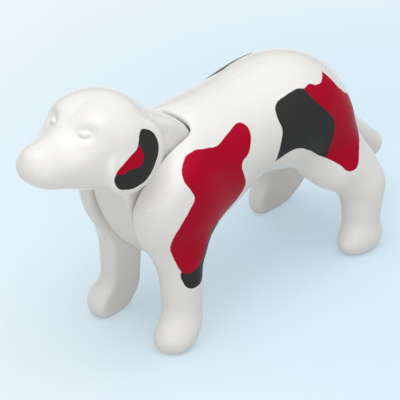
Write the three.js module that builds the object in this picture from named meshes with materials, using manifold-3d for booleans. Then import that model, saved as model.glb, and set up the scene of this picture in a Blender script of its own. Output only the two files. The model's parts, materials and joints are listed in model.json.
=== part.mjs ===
import * as THREE from 'three';
import { mergeVertices } from 'three/addons/utils/BufferGeometryUtils.js';
import Module from 'manifold-3d';

// Toy hunting dog, moulded in plastic: two body halves that clasp a nodding head and neck.
// Lengths are millimetres and angles are degrees.
// The dog looks along -Y, its left side is +X, and it stands on Z = 0 with its parting plane at X = 0.

// Trunk: rounded masses in line from the chest to the hips
const chest = { y: -8.9, z: 20.9, halfWidth: 8.0, halfLength: 11.6, halfDepth: 8.7 };
const barrel = { y: 4.8, z: 23.4, halfWidth: 7.8, halfLength: 13.5, halfDepth: 6.75 };
const hips = { y: 13.5, z: 22.0, halfWidth: 8.1, halfLength: 9.0, halfDepth: 7.4, tilt: -14 };
const trunkBlend = 5;

// Shoulders beside the chest, with a sloping top that leaves room for the head
const shoulder = {
  out: 4.5, ahead: 4.9, drop: 0.3, halfWidth: 4.3, halfLength: 5.7, halfDepth: 7.9, tilt: 10,
};
const shoulderBlend = 4;
const shoulderSlope = { behindSkull: 6.5, belowSkull: 4.2, angle: 31, round: 2.4 };

// Legs and paws: a leg's top is measured from the shoulder or thigh that carries it, the rest from the ground
const foreLeg = { out: 0.8, back: 0.6, drop: 7.6, radius: 3.0 };
const foreAnkle = { out: 0.2, back: 0.2, z: 4, radius: 2.7 };
const forePaw = { out: 0.6, ahead: 1.9, z: 1.9, halfWidth: 2.75, halfLength: 3.1, halfDepth: 2.6 };
const thigh = { out: 6.1, back: 5.1, drop: 7.0, halfWidth: 4.2, halfLength: 5.8, halfDepth: 5.0 };
const hindLeg = { out: 2.0, back: 1.7, drop: 5.0, radius: 3.3 };
const hindAnkle = { out: 0.3, back: 0.8, z: 3.5, radius: 2.55 };
const hindPaw = { out: 0.2, ahead: 0.6, z: 1.8, halfWidth: 2.5, halfLength: 3.6, halfDepth: 2.6 };
const heel = { out: -3.2, back: 3.5, z: 3.6, radius: 3.2 };
const hock = { out: 0, back: -0.1, z: 5.3, radius: 3.2 };
const heelBlend = 2;
const thighBlend = 4;
const legBlend = 3;
const pawBlend = 2;

// Gaps between the legs: flat inner faces that lean apart by the mould's draft, with an arch over the hind ones
const hindGap = { halfWidth: 6.2, aheadOfThigh: 12.0, behindThigh: 6.0, spring: 11, archRise: 2.4 };
const heelGap = { top: 8.6, behindHeel: 3.9 };
const foreGapTop = 11;
const legDraft = 4.9;

// Docked tail, hanging from the hips
const tailRoot = { back: 9.2, drop: 4.6, radius: 2.3 };
const tailTip = { back: 9.4, drop: 8.3, radius: 2.1 };
const tailBlend = 1.6;

// Neck hinge in the chest: a flat tongue and a square neck turn on a pin between the two shoulders
const pin = { back: 2.5, drop: 0.4, radius: 1.5, socketDepth: 2.2 };
const hubRadius = 3.4;
const tongueThickness = 6.9;
const tongueRound = 0.9;
const neckLean = 34;
const neckLength = 11.4;
const neckCorner = 1.4;
const neckBlend = 1.5;
const neckTop = { back: 2.4, rise: 0.9, fall: 18, round: 1.8 };
const neckRoom = 0.3;
const boreCorner = 2;
const keelLean = -38;
const keelFoot = 10.4;
const nodUp = 2;
const nodDown = 15;

// Breast line of the tongue, an arc about a point measured from the pin
const breast = { back: 6.8, rise: 6.3, radius: 21.0 };

// Head: the skull is placed from the end of the neck, and its features from the middle of the skull
const skull = { ahead: 8.1, rise: 1.5, halfWidth: 6.3, halfLength: 6.5, halfDepth: 5.85 };
const crown = { ahead: 0.13, rise: 1.55, halfWidth: 6.3, halfLength: 4.7, halfDepth: 4.2 };
const crownBlend = 2;
const muzzle = { ahead: 4.5, drop: 0.7, radius: 4.0 };
const nose = { ahead: 10.6, rise: 0.4, radius: 2.45 };
const muzzleBlend = 3.5;
const jowl = { out: 2.8, ahead: 3.0, drop: 1.2, radius: 2.5 };
const flew = { out: 1.2, ahead: 9.9, drop: 0.5, radius: 1.8 };
const jowlBlend = 2;
const brow = { out: 2.4, ahead: 3.43, rise: 3.15, halfWidth: 1.3, halfLength: 1.5, halfDepth: 1.2 };
const browBlend = 3;
const eye = { out: 2.95, ahead: 6.1, rise: 3.5, halfLength: 0.8, halfHeight: 0.4, bulge: 0.2 };

// Jaw: a wedge with upright sides that narrows to a round front, under a sloping roof
const jawBack = { ahead: 0.13, radius: 6.15 };
const jawFront = { ahead: 9.63, radius: 3.2 };
const jaw = {
  ahead: 2.53, wallRise: 2.35, wallFall: 17, frontRise: 0.45, roofSlope: 37, ridgeRise: 4.85, ridgeFall: 15,
  footDrop: 3.8, footClimb: 14, wallRound: 0.7, ridgeRound: 2.0, footRound: 1.6,
};
const jawBlend = 1;

// Ears: oval flaps that lean forwards, tucked in at the top and swept out at the back
const ear = {
  out: 6.4, ahead: 0.73, drop: 0.55, halfLength: 4.9, halfWidth: 3.6, lean: 45, halfRim: 0.8, swell: 0.45,
  tuck: 24, tuckBend: 2.0, sweep: 8, round: 0.6,
};
const earBlend = 0.35;

// Moulding: walls, the parting line and the fits
const wall = 1.8;
const partingGap = 0.1;
const slideClearance = 0.3;
const fitClearance = 0.3;
const postRadius = 2.2;
const pegRadius = 1.1;
const pegLength = 2.2;
const barrelPeg = { ahead: 1.2, drop: 0.2 };
const hipPeg = { back: 3.1, drop: 0.5 };

// Grid steps of the curved skins
const bodyStep = 1.25;
const cavityStep = 2.2;
const headStep = 0.9;
const roundSides = 24;
const arcSteps = 6;

const tongueHalf = tongueThickness / 2;
const cheek = tongueHalf + slideClearance;
const halfParting = partingGap / 2;
const farAway = 60;
const pegPlaces = [
  { y: barrel.y - barrelPeg.ahead, z: barrel.z - barrelPeg.drop },
  { y: hips.y + hipPeg.back, z: hips.z - hipPeg.drop },
];

const wasm = await Module();
wasm.setup();

// Distance to an ellipsoid that may be tipped about X
function ellipsoid(x, y, z, half, tilt = 0) {
  const turn = THREE.MathUtils.degToRad(tilt);
  const along = Math.cos(turn) * y + Math.sin(turn) * z;
  const up = -Math.sin(turn) * y + Math.cos(turn) * z;
  const { halfWidth, halfLength, halfDepth } = half;
  const scaled = Math.hypot(x / halfWidth, along / halfLength, up / halfDepth);
  const slope = Math.hypot(x / halfWidth ** 2, along / halfLength ** 2, up / halfDepth ** 2);
  return scaled * (scaled - 1) / (slope + 1e-9);
}

// Distance to a round limb that tapers from one ball to another
function limb(point, from, to) {
  const axis = new THREE.Vector3().subVectors(to.centre, from.centre);
  const offset = new THREE.Vector3().subVectors(point, from.centre);
  const lengthSq = axis.lengthSq();
  const taper = from.radius - to.radius;
  const cone = lengthSq - taper * taper;
  const start = offset.dot(axis);
  const end = start - lengthSq;
  const sideSq = offset.multiplyScalar(lengthSq).addScaledVector(axis, -start).lengthSq();
  const limit = Math.sign(taper) * taper * taper * sideSq;
  if (Math.sign(end) * cone * end * end * lengthSq > limit) {
    return Math.sqrt(sideSq + end * end * lengthSq) / lengthSq - to.radius;
  }
  if (Math.sign(start) * cone * start * start * lengthSq < limit) {
    return Math.sqrt(sideSq + start * start * lengthSq) / lengthSq - from.radius;
  }
  return (Math.sqrt(sideSq * cone / lengthSq) + start * taper) / lengthSq - from.radius;
}

// Union of two shapes with a soft fillet, and the like for an intersection
function blend(a, b, fillet) {
  const overlap = Math.max(fillet - Math.abs(a - b), 0) / fillet;
  return Math.min(a, b) - overlap * overlap * fillet / 4;
}

function trim(a, b, fillet) {
  return -blend(-a, -b, fillet);
}

function ball({ x = 0, y, z }, radius) {
  return { centre: new THREE.Vector3(x, y, z), radius };
}

// A point measured from another one: out to the side, back or ahead along the dog, up or down
function from(base, { out = 0, back = 0, ahead = 0, rise = 0, drop = 0 }) {
  return { x: (base.x ?? 0) + out, y: base.y + back - ahead, z: base.z + rise - drop };
}

// The same point taken down to its own height above the ground
function standing(base, form) {
  return { ...from(base, form), z: form.z };
}

function alongNeck(lean, length) {
  const turn = THREE.MathUtils.degToRad(lean);
  return { y: pivot.y - length * Math.sin(turn), z: pivot.z + length * Math.cos(turn) };
}

const pivot = from(chest, pin);
const neckEnd = alongNeck(neckLean, neckLength);
const at = { shoulder: from(chest, shoulder), thigh: from(hips, thigh), skull: from(neckEnd, skull) };
at.foreLeg = from(at.shoulder, foreLeg);
at.foreAnkle = standing(at.foreLeg, foreAnkle);
at.forePaw = standing(at.foreAnkle, forePaw);
at.hindLeg = from(at.thigh, hindLeg);
at.hindAnkle = standing(at.hindLeg, hindAnkle);
at.hindPaw = standing(at.hindAnkle, hindPaw);
at.heel = standing(at.hindAnkle, heel);
at.hock = standing(at.heel, hock);
at.tailRoot = from(hips, tailRoot);
at.tailTip = from(at.tailRoot, tailTip);
at.crown = from(at.skull, crown);
at.brow = from(at.skull, brow);
at.ear = from(at.skull, ear);
at.breast = from(pivot, breast);

const limbs = {
  fore: [ball(at.foreLeg, foreLeg.radius), ball(at.foreAnkle, foreAnkle.radius)],
  hind: [ball(at.hindLeg, hindLeg.radius), ball(at.hindAnkle, hindAnkle.radius)],
  heel: [ball(at.heel, heel.radius), ball(at.hock, hock.radius)],
  tail: [ball(at.tailRoot, tailRoot.radius), ball(at.tailTip, tailTip.radius)],
  muzzle: [muzzle, nose].map((form) => ball(from(at.skull, form), form.radius)),
  jowl: [jowl, flew].map((form) => ball(from(at.skull, form), form.radius)),
  jaw: [jawBack, jawFront].map((form) => ball({ ...from(at.skull, form), z: 0 }, form.radius)),
};

function steepness(angle) {
  return Math.tan(THREE.MathUtils.degToRad(angle));
}

// Height above a plane that slopes along the dog, through a point at the given angle
function overSlope(y, z, point, angle) {
  const turn = THREE.MathUtils.degToRad(angle);
  return (z - point.z) * Math.cos(turn) - (y - point.y) * Math.sin(turn);
}

// The trunk alone, which is also the form of the hollow inside it
function trunkField(x, y, z) {
  let distance = ellipsoid(x, y - chest.y, z - chest.z, chest);
  distance = blend(distance, ellipsoid(x, y - barrel.y, z - barrel.z, barrel), trunkBlend);
  return blend(distance, ellipsoid(x, y - hips.y, z - hips.z, hips, hips.tilt), trunkBlend);
}

const slopeStart = from(at.skull, { back: shoulderSlope.behindSkull, drop: shoulderSlope.belowSkull });
const neckTopPoint = from(neckEnd, neckTop);

function bodyField(x, y, z) {
  const side = Math.abs(x);
  const point = new THREE.Vector3(side, y, z);
  const part = (centre, form) => ellipsoid(side - centre.x, y - centre.y, z - centre.z, form, form.tilt);
  let distance = blend(trunkField(side, y, z), part(at.shoulder, shoulder), shoulderBlend);
  distance = trim(distance, overSlope(y, z, slopeStart, shoulderSlope.angle), shoulderSlope.round);
  distance = blend(distance, limb(point, ...limbs.fore), legBlend);
  distance = blend(distance, part(at.forePaw, forePaw), pawBlend);
  distance = blend(distance, part(at.thigh, thigh), thighBlend);
  distance = blend(distance, limb(point, ...limbs.hind), legBlend);
  distance = blend(distance, part(at.hindPaw, hindPaw), pawBlend);
  distance = blend(distance, limb(point, ...limbs.heel), heelBlend);
  return blend(distance, limb(point, ...limbs.tail), tailBlend);
}

// Square neck above the hub, with a top that falls towards the tail
function neckField(side, y, z) {
  const behind = overSlope(y, z, pivot, neckLean - 90);
  const above = overSlope(y, z, pivot, neckLean);
  const section = trim(side - tongueHalf, Math.abs(behind) - tongueHalf, neckCorner);
  const top = overSlope(y, z, neckTopPoint, -neckTop.fall);
  return Math.max(trim(section, top, neckTop.round), -above);
}

function jawField(side, y, z) {
  const ahead = at.skull.y - jaw.ahead - y;
  const rise = z - at.skull.z;
  const roofTurn = THREE.MathUtils.degToRad(jaw.roofSlope);
  const wallSide = limb(new THREE.Vector3(side, y, 0), ...limbs.jaw);
  const wallTop = Math.max(jaw.wallRise - ahead * steepness(jaw.wallFall), jaw.frontRise);
  const roof = (rise - wallTop) * Math.cos(roofTurn) + wallSide * Math.sin(roofTurn);
  const ridge = rise - jaw.ridgeRise + ahead * steepness(jaw.ridgeFall);
  const foot = ahead * steepness(jaw.footClimb) - rise - jaw.footDrop;
  const wedge = trim(wallSide, trim(roof, ridge, jaw.ridgeRound), jaw.wallRound);
  return trim(trim(wedge, foot, jaw.footRound), -ahead, jaw.wallRound);
}

function earField(side, y, z) {
  const rise = z - at.ear.z;
  const along = overSlope(y, z, at.ear, ear.lean - 90) / ear.halfLength;
  const across = overSlope(y, z, at.ear, ear.lean) / ear.halfWidth;
  const oval = Math.hypot(along, across);
  const tucked = (rise + Math.hypot(rise, ear.tuckBend)) / 2 * steepness(ear.tuck);
  const middle = at.ear.x - tucked + (y - at.ear.y) * steepness(ear.sweep);
  const halfThickness = ear.halfRim + ear.swell * Math.max(1 - oval * oval, 0);
  return trim((oval - 1) * ear.halfWidth, Math.abs(side - middle) - halfThickness, ear.round);
}

function headField(x, y, z) {
  const side = Math.abs(x);
  const point = new THREE.Vector3(side, y, z);
  const part = (centre, form) => ellipsoid(side - centre.x, y - centre.y, z - centre.z, form);
  let distance = part(at.skull, skull);
  distance = blend(distance, limb(point, ...limbs.muzzle), muzzleBlend);
  distance = blend(distance, part(at.crown, crown), crownBlend);
  distance = blend(distance, limb(point, ...limbs.jowl), jowlBlend);
  distance = blend(distance, jawField(side, y, z), jawBlend);
  distance = blend(distance, part(at.brow, brow), browBlend);
  distance = blend(distance, neckField(side, y, z), neckBlend);
  return blend(distance, earField(side, y, z), earBlend);
}

// Move a point onto the surface where the field is zero
function settle(field, point) {
  const step = 0.01;
  for (let turn = 0; turn < 4; turn += 1) {
    const [x, y, z] = point;
    const value = field(x, y, z);
    const slope = [
      (field(x + step, y, z) - value) / step,
      (field(x, y + step, z) - value) / step,
      (field(x, y, z + step) - value) / step,
    ];
    const slopeSq = slope[0] ** 2 + slope[1] ** 2 + slope[2] ** 2 + 1e-9;
    slope.forEach((part, axis) => {
      point[axis] -= value * part / slopeSq;
    });
  }
  return point;
}

// The twelve edges of a grid cell, each named by its lower corner and its axis
const cellEdges = [];
for (let corner = 0; corner < 8; corner += 1) {
  for (let axis = 0; axis < 3; axis += 1) {
    if (((corner >> axis) & 1) === 0) cellEdges.push({ corner, axis, name: corner * 3 + axis });
  }
}

// The six faces of a grid cell: four corners in a ring, and the edge that leads on from each
const cellFaces = [];
for (let axis = 0; axis < 3; axis += 1) {
  const u = 1 << ((axis + 1) % 3);
  const v = 1 << ((axis + 2) % 3);
  for (const base of [0, 1 << axis]) {
    const ring = [base, base + u, base + u + v, base + v];
    const edges = ring.map((corner, turn) => {
      const next = ring[(turn + 1) % 4];
      return Math.min(corner, next) * 3 + Math.log2(Math.abs(next - corner));
    });
    cellFaces.push({ ring, edges });
  }
}

// Sort a cell's crossed edges into the separate sheets of surface that pass through it
function sheetsOf(inside) {
  const sheet = new Map();
  for (const { corner, axis, name } of cellEdges) {
    if (inside[corner] !== inside[corner + (1 << axis)]) sheet.set(name, name);
  }
  const join = (a, b) => {
    const [keep, drop] = [sheet.get(a), sheet.get(b)];
    for (const [name, owner] of sheet) {
      if (owner === drop) sheet.set(name, keep);
    }
  };
  for (const { ring, edges } of cellFaces) {
    const crossed = edges.filter((name) => sheet.has(name));
    if (crossed.length === 2) join(...crossed);
    if (crossed.length < 4) continue;
    ring.forEach((corner, turn) => {
      if (inside[corner]) join(edges[turn], edges[(turn + 3) % 4]);
    });
  }
  return sheet;
}

// Closed skin where a field is zero: one point for each sheet of surface in each grid cell
function skin(field, low, high, cell) {
  const count = low.map((value, axis) => Math.ceil((high[axis] - value) / cell) + 1);
  const stride = [1, count[0], count[0] * count[1]];
  const values = new Float64Array(count[0] * count[1] * count[2]);
  const place = (index) => low.map((value, axis) => value + index[axis] * cell);
  const slotOf = (index) => index[0] + index[1] * stride[1] + index[2] * stride[2];
  const cornerOf = (index, corner) => index.map((value, axis) => value + ((corner >> axis) & 1));
  const eachIndex = (visit) => {
    for (let k = 0; k < count[2]; k += 1) {
      for (let j = 0; j < count[1]; j += 1) {
        for (let i = 0; i < count[0]; i += 1) visit([i, j, k]);
      }
    }
  };
  eachIndex((index) => {
    values[slotOf(index)] = field(...place(index));
  });

  const points = [];
  const pointOf = new Map();
  const addCell = (index) => {
    const slots = Array.from({ length: 8 }, (_, corner) => slotOf(cornerOf(index, corner)));
    const inside = slots.map((slot) => values[slot] < 0);
    if (inside.every((value) => value === inside[0])) return;
    const sheets = sheetsOf(inside);
    for (const owner of new Set(sheets.values())) {
      const members = cellEdges.filter(({ name }) => sheets.get(name) === owner);
      const sum = [0, 0, 0];
      for (const { corner, axis, name } of members) {
        const from = values[slots[corner]];
        const to = values[slots[corner] + stride[axis]];
        const at = place(cornerOf(index, corner));
        at[axis] += cell * from / (from - to);
        at.forEach((value, which) => {
          sum[which] += value / members.length;
        });
        pointOf.set(slots[0] * 24 + name, points.length / 3);
      }
      points.push(...settle(field, sum));
    }
  };
  eachIndex((index) => {
    if (index.every((value, axis) => value + 1 < count[axis])) addCell(index);
  });

  const faces = [];
  const addFace = (index, axis) => {
    const here = slotOf(index);
    const u = (axis + 1) % 3;
    const v = (axis + 2) % 3;
    const inside = values[here] < 0;
    if (inside === (values[here + stride[axis]] < 0)) return;
    const around = [[1, 1], [0, 1], [0, 0], [1, 0]];
    const [a, b, c, d] = around.map(([du, dv]) => {
      const corner = (du << u) + (dv << v);
      return pointOf.get((here - du * stride[u] - dv * stride[v]) * 24 + corner * 3 + axis);
    });
    faces.push(...(inside ? [a, b, c, a, c, d] : [a, c, b, a, d, c]));
  };
  eachIndex((index) => {
    for (let axis = 0; axis < 3; axis += 1) {
      const atEdge = index[(axis + 1) % 3] === 0 || index[(axis + 2) % 3] === 0;
      if (!atEdge && index[axis] + 1 < count[axis]) addFace(index, axis);
    }
  });
  const geometry = new THREE.BufferGeometry();
  geometry.setAttribute('position', new THREE.Float32BufferAttribute(points, 3));
  geometry.setIndex(faces);
  return geometry;
}

// The same form on the other side of the parting plane
function mirrored(geometry) {
  const copy = geometry.clone().scale(-1, 1, 1);
  const index = copy.index.array;
  for (let face = 0; face < index.length; face += 3) {
    [index[face + 1], index[face + 2]] = [index[face + 2], index[face + 1]];
  }
  return copy;
}

function toSolid(geometry) {
  geometry.deleteAttribute('normal');
  geometry.deleteAttribute('uv');
  const merged = mergeVertices(geometry);
  return new wasm.Manifold(new wasm.Mesh({
    numProp: 3,
    vertProperties: new Float32Array(merged.getAttribute('position').array),
    triVerts: new Uint32Array(merged.index.array),
  }));
}

function box(low, high) {
  const size = high.map((value, axis) => value - low[axis]);
  const middle = high.map((value, axis) => (value + low[axis]) / 2);
  return toSolid(new THREE.BoxGeometry(...size).translate(...middle));
}

// Round bar along X
function bar(radius, fromX, toX, { y, z }) {
  const rod = new THREE.CylinderGeometry(radius, radius, Math.abs(toX - fromX), roundSides);
  return toSolid(rod.rotateZ(Math.PI / 2).translate((fromX + toX) / 2, y, z));
}

// A side-view outline in Y and Z, given thickness along X about the parting plane
function plate(shape, thickness, round) {
  const geometry = new THREE.ExtrudeGeometry(shape, {
    depth: thickness - 2 * round,
    bevelEnabled: round > 0,
    bevelThickness: round,
    bevelSize: round,
    bevelOffset: -round,
    bevelSegments: 2,
    curveSegments: arcSteps,
  });
  geometry.translate(0, 0, round - thickness / 2);
  const toWorld = new THREE.Matrix4().makeBasis(
    new THREE.Vector3(0, 1, 0),
    new THREE.Vector3(0, 0, 1),
    new THREE.Vector3(1, 0, 0),
  );
  return toSolid(geometry.applyMatrix4(toWorld));
}

function unit(angle) {
  const turn = THREE.MathUtils.degToRad(angle);
  return new THREE.Vector2(Math.cos(turn), Math.sin(turn));
}

// Where a straight line from a point runs out through the breast line
function breastPoint(start, direction) {
  const offset = new THREE.Vector2(start.y - at.breast.y, start.z - at.breast.z);
  const half = offset.dot(direction);
  const reach = Math.sqrt(half * half - offset.lengthSq() + breast.radius ** 2) - half;
  return { y: start.y + reach * direction.x, z: start.z + reach * direction.y };
}

// Where the straight keel leaves the round hub
function keelStart(radius, angle) {
  const turn = unit(angle);
  return { y: pivot.y + radius * turn.x, z: pivot.z + radius * turn.y };
}

// Outline of the tongue ahead of the neck's middle line: breast line and straight keel
function tongueShape() {
  const buried = unit(neckLean).multiplyScalar(tongueRound);
  const keel = keelStart(hubRadius, keelLean);
  const throat = breastPoint(neckEnd, unit(180));
  const brisket = breastPoint(keel, unit(keelLean - 90));
  const angleTo = (point) => Math.atan2(point.z - at.breast.z, point.y - at.breast.y);
  const full = 2 * Math.PI;
  const shape = new THREE.Shape();
  shape.moveTo(keel.y, keel.z);
  shape.lineTo(pivot.y + buried.x, pivot.z + buried.y);
  shape.lineTo(neckEnd.y + buried.x, neckEnd.z + buried.y);
  shape.absarc(at.breast.y, at.breast.z, breast.radius, (angleTo(throat) + full) % full,
    (angleTo(brisket) + full) % full, false);
  shape.closePath();
  return shape;
}

// Where the slot's back leaves the keel's line and goes straight down
function slotFoot() {
  const turn = THREE.MathUtils.degToRad(keelLean + nodDown);
  const below = (keelFoot - pivot.z) * Math.sin(turn);
  return { y: pivot.y + (hubRadius + slideClearance - below) / Math.cos(turn), z: keelFoot };
}

// Outline of the slot ahead of the neck, from its place at the highest nod to the keel's at the lowest
function slotShape() {
  const keel = keelStart(hubRadius + slideClearance, keelLean + nodDown);
  const foot = slotFoot();
  const neckFar = alongNeck(neckLean - nodUp, farAway);
  const shape = new THREE.Shape();
  shape.moveTo(keel.y, keel.z);
  shape.lineTo(pivot.y, pivot.z);
  shape.lineTo(neckFar.y, neckFar.z);
  shape.lineTo(pivot.y - farAway, neckFar.z);
  shape.lineTo(pivot.y - farAway, -farAway);
  shape.lineTo(foot.y, -farAway);
  shape.lineTo(foot.y, foot.z);
  shape.closePath();
  return shape;
}

// Room behind the square neck, along its place at the highest nod
function boreSolid() {
  const back = cheek + neckRoom - boreCorner;
  const side = cheek - boreCorner;
  const shape = new THREE.Shape();
  shape.moveTo(-cheek, -cheek);
  shape.lineTo(cheek, -cheek);
  shape.absarc(side, back, boreCorner, 0, Math.PI / 2, false);
  shape.absarc(-side, back, boreCorner, Math.PI / 2, Math.PI, false);
  shape.closePath();
  const geometry = new THREE.ExtrudeGeometry(shape, {
    depth: farAway,
    bevelEnabled: false,
    curveSegments: arcSteps,
  });
  const turn = THREE.MathUtils.degToRad(neckLean - nodUp);
  return toSolid(geometry.rotateX(turn).translate(0, pivot.y, pivot.z));
}

// Room for the hub, the tongue and the square neck
function slotSolid() {
  return plate(slotShape(), 2 * cheek, 0)
    .add(bar(hubRadius + slideClearance, -cheek, cheek, pivot))
    .add(boreSolid());
}

// A gap between two legs, seen from the front, that runs along the dog
function legGap(shape, front, back) {
  const geometry = new THREE.ExtrudeGeometry(shape, {
    depth: back - front,
    bevelEnabled: false,
    curveSegments: arcSteps,
  });
  return toSolid(geometry.rotateX(Math.PI / 2).translate(0, back, 0));
}

// Outline of such a gap up to its top, widening downwards by the draft
function legGapShape(halfWidth, top) {
  const footHalf = halfWidth + (top + farAway) * steepness(legDraft);
  const shape = new THREE.Shape();
  shape.moveTo(-halfWidth, top);
  shape.lineTo(-footHalf, -farAway);
  shape.lineTo(footHalf, -farAway);
  shape.lineTo(halfWidth, top);
  return shape;
}

function foreGapSolid() {
  return legGap(legGapShape(cheek, foreGapTop), -farAway, slotFoot().y);
}

function hindGapSolid() {
  const { halfWidth, spring, archRise, aheadOfThigh, behindThigh } = hindGap;
  const shape = legGapShape(halfWidth, spring);
  const behind = legGap(legGapShape(halfWidth, spring), at.thigh.y, at.heel.y + heelGap.behindHeel);
  const low = box([-farAway, -farAway, -farAway], [farAway, farAway, heelGap.top]);
  shape.absellipse(0, spring, halfWidth, archRise, 0, Math.PI, false);
  return legGap(shape, at.thigh.y - aheadOfThigh, at.thigh.y + behindThigh).add(behind.intersect(low));
}

// One body half: skin, hollow, slot and leg gaps; hand is 1 for the left side and -1 for the right
function bodyHalf(hand) {
  const overlap = 2 * bodyStep;
  const pastMiddle = (field) => (x, y, z) => Math.max(field(x, y, z), -x - overlap);
  const bulkhead = pivot.y + hubRadius + slideClearance + wall;
  const hollowField = (x, y, z) => Math.max(trunkField(x, y, z) + wall, bulkhead - y);
  const low = [-overlap - bodyStep, at.shoulder.y - 2 * shoulder.halfLength, -2 * bodyStep];
  const high = [
    at.hindPaw.x + 2 * hindPaw.halfWidth,
    at.tailTip.y + 2 * tailTip.radius,
    barrel.z + 2 * barrel.halfDepth,
  ];
  const outerSkin = skin(pastMiddle(bodyField), low, high, bodyStep);
  const hollowSkin = skin(pastMiddle(hollowField), low, high, cavityStep);
  const sided = (geometry) => toSolid(hand > 0 ? geometry : mirrored(geometry));
  const edges = [hand * halfParting, hand * farAway].sort((a, b) => a - b);
  const ownSide = box([edges[0], -farAway, 0], [edges[1], farAway, farAway]);
  const whole = sided(outerSkin)
    .intersect(ownSide)
    .subtract(slotSolid())
    .subtract(foreGapSolid())
    .subtract(hindGapSolid());
  let half = whole.subtract(sided(hollowSkin));
  for (const place of pegPlaces) {
    const post = bar(postRadius, hand * halfParting, hand * farAway, place);
    half = half.add(post.intersect(whole));
  }
  return half;
}

function leftHalf() {
  const socketEnd = -cheek - pin.socketDepth;
  let half = bodyHalf(1);
  half = half.add(bar(pin.radius, socketEnd, cheek + wall, pivot));
  for (const place of pegPlaces) half = half.add(bar(pegRadius, -pegLength, postRadius, place));
  return half;
}

function rightHalf() {
  const socketEnd = -cheek - pin.socketDepth - fitClearance;
  let half = bodyHalf(-1);
  half = half.subtract(bar(pin.radius + fitClearance, socketEnd, 0, pivot));
  for (const place of pegPlaces) {
    half = half.subtract(bar(pegRadius + fitClearance, -pegLength - fitClearance, 0, place));
  }
  return half;
}

// A low almond on the brow's surface, turned to face out of it
function eyeSolid(hand) {
  const guess = from(at.skull, eye);
  const [x, y, z] = settle(headField, [guess.x, guess.y, guess.z]);
  const inner = settle((...point) => headField(...point) + eye.bulge, [x, y, z]);
  const facing = new THREE.Vector3(x - inner[0], y - inner[1], z - inner[2]);
  const turned = new THREE.Matrix4().lookAt(facing, new THREE.Vector3(), new THREE.Vector3(0, 0, 1));
  const almond = new THREE.SphereGeometry(1, roundSides / 2, roundSides / 3)
    .scale(eye.halfLength, eye.halfHeight, eye.bulge)
    .applyMatrix4(turned)
    .translate(x, y, z);
  return toSolid(hand > 0 ? almond : mirrored(almond));
}

function headSolid() {
  const reach = nose.ahead + 2 * nose.radius;
  const low = [-2 * ear.out, at.skull.y - reach, pivot.z - hubRadius];
  const high = [2 * ear.out, pivot.y + hubRadius, at.skull.z + 1.5 * skull.halfDepth];
  return toSolid(skin(headField, low, high, headStep))
    .add(plate(tongueShape(), tongueThickness, tongueRound))
    .add(bar(hubRadius, -tongueHalf, tongueHalf, pivot))
    .add(eyeSolid(1))
    .add(eyeSolid(-1))
    .subtract(bar(pin.radius + fitClearance, -farAway, farAway, pivot));
}

function named(name, solid, material) {
  const { vertProperties, triVerts } = solid.getMesh();
  const geometry = new THREE.BufferGeometry();
  geometry.setAttribute('position', new THREE.Float32BufferAttribute(vertProperties, 3));
  geometry.setIndex(new THREE.Uint32BufferAttribute(triVerts, 1));
  geometry.computeVertexNormals();
  const mesh = new THREE.Mesh(geometry, material);
  mesh.name = name;
  return mesh;
}

const whitePlastic = () => new THREE.MeshStandardMaterial({ color: 0xf2f0ec, roughness: 0.3, metalness: 0 });

const dog = new THREE.Group();
dog.add(named('body_left_half', leftHalf(), whitePlastic()));
dog.add(named('body_right_half', rightHalf(), whitePlastic()));
dog.add(named('head', headSolid(), whitePlastic()));

export default dog;
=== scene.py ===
# %% [markdown]
# # A toy hunting dog with a nodding head
# The dog is a small play figure in glossy white plastic. Two body halves clasp a head and neck that nod
# on a pin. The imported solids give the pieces, the joint and the sizes. Here each piece gets a fine skin
# in their place, with rounded rims, a modelled face and printed coat patches.

# %% Load the frame
import json
import math

import bpy
import numpy as np
from mathutils import Matrix, Vector


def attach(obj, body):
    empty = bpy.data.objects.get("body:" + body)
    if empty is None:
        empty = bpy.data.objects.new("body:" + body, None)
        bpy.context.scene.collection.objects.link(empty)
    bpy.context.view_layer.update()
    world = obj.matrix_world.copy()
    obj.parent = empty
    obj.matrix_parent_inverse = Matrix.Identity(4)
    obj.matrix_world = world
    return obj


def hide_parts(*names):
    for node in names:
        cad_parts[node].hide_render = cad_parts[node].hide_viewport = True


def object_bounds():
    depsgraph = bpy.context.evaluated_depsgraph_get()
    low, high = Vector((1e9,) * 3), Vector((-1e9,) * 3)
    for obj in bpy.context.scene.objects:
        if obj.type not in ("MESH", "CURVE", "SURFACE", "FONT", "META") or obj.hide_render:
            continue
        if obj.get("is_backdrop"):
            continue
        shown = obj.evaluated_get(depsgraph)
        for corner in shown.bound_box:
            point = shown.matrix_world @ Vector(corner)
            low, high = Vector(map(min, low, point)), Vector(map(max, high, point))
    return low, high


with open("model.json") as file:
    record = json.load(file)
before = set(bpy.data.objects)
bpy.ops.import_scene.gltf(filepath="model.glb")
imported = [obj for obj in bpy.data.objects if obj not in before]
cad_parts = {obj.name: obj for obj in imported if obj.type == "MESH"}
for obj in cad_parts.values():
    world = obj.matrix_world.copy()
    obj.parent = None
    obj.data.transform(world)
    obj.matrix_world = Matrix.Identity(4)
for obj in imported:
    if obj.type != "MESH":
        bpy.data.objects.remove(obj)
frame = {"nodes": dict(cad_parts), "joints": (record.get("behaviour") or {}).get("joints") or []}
cad_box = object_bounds()
MM = 0.001
nod = frame["joints"][0]
pivot = np.array(nod["pos_m"]) / MM
print("nodes:", sorted(frame["nodes"]), "joint:", nod["name"], "at", pivot, "mm")

# %% [markdown]
# ## Camera
# The photograph looks down on the dog from its front left with a long lens. A camera is easiest to aim
# from three things: the point it looks at, its turn round the dog and its height angle. The back axis of
# the camera is worked out from the two angles, and the camera is pushed out along it.

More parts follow.
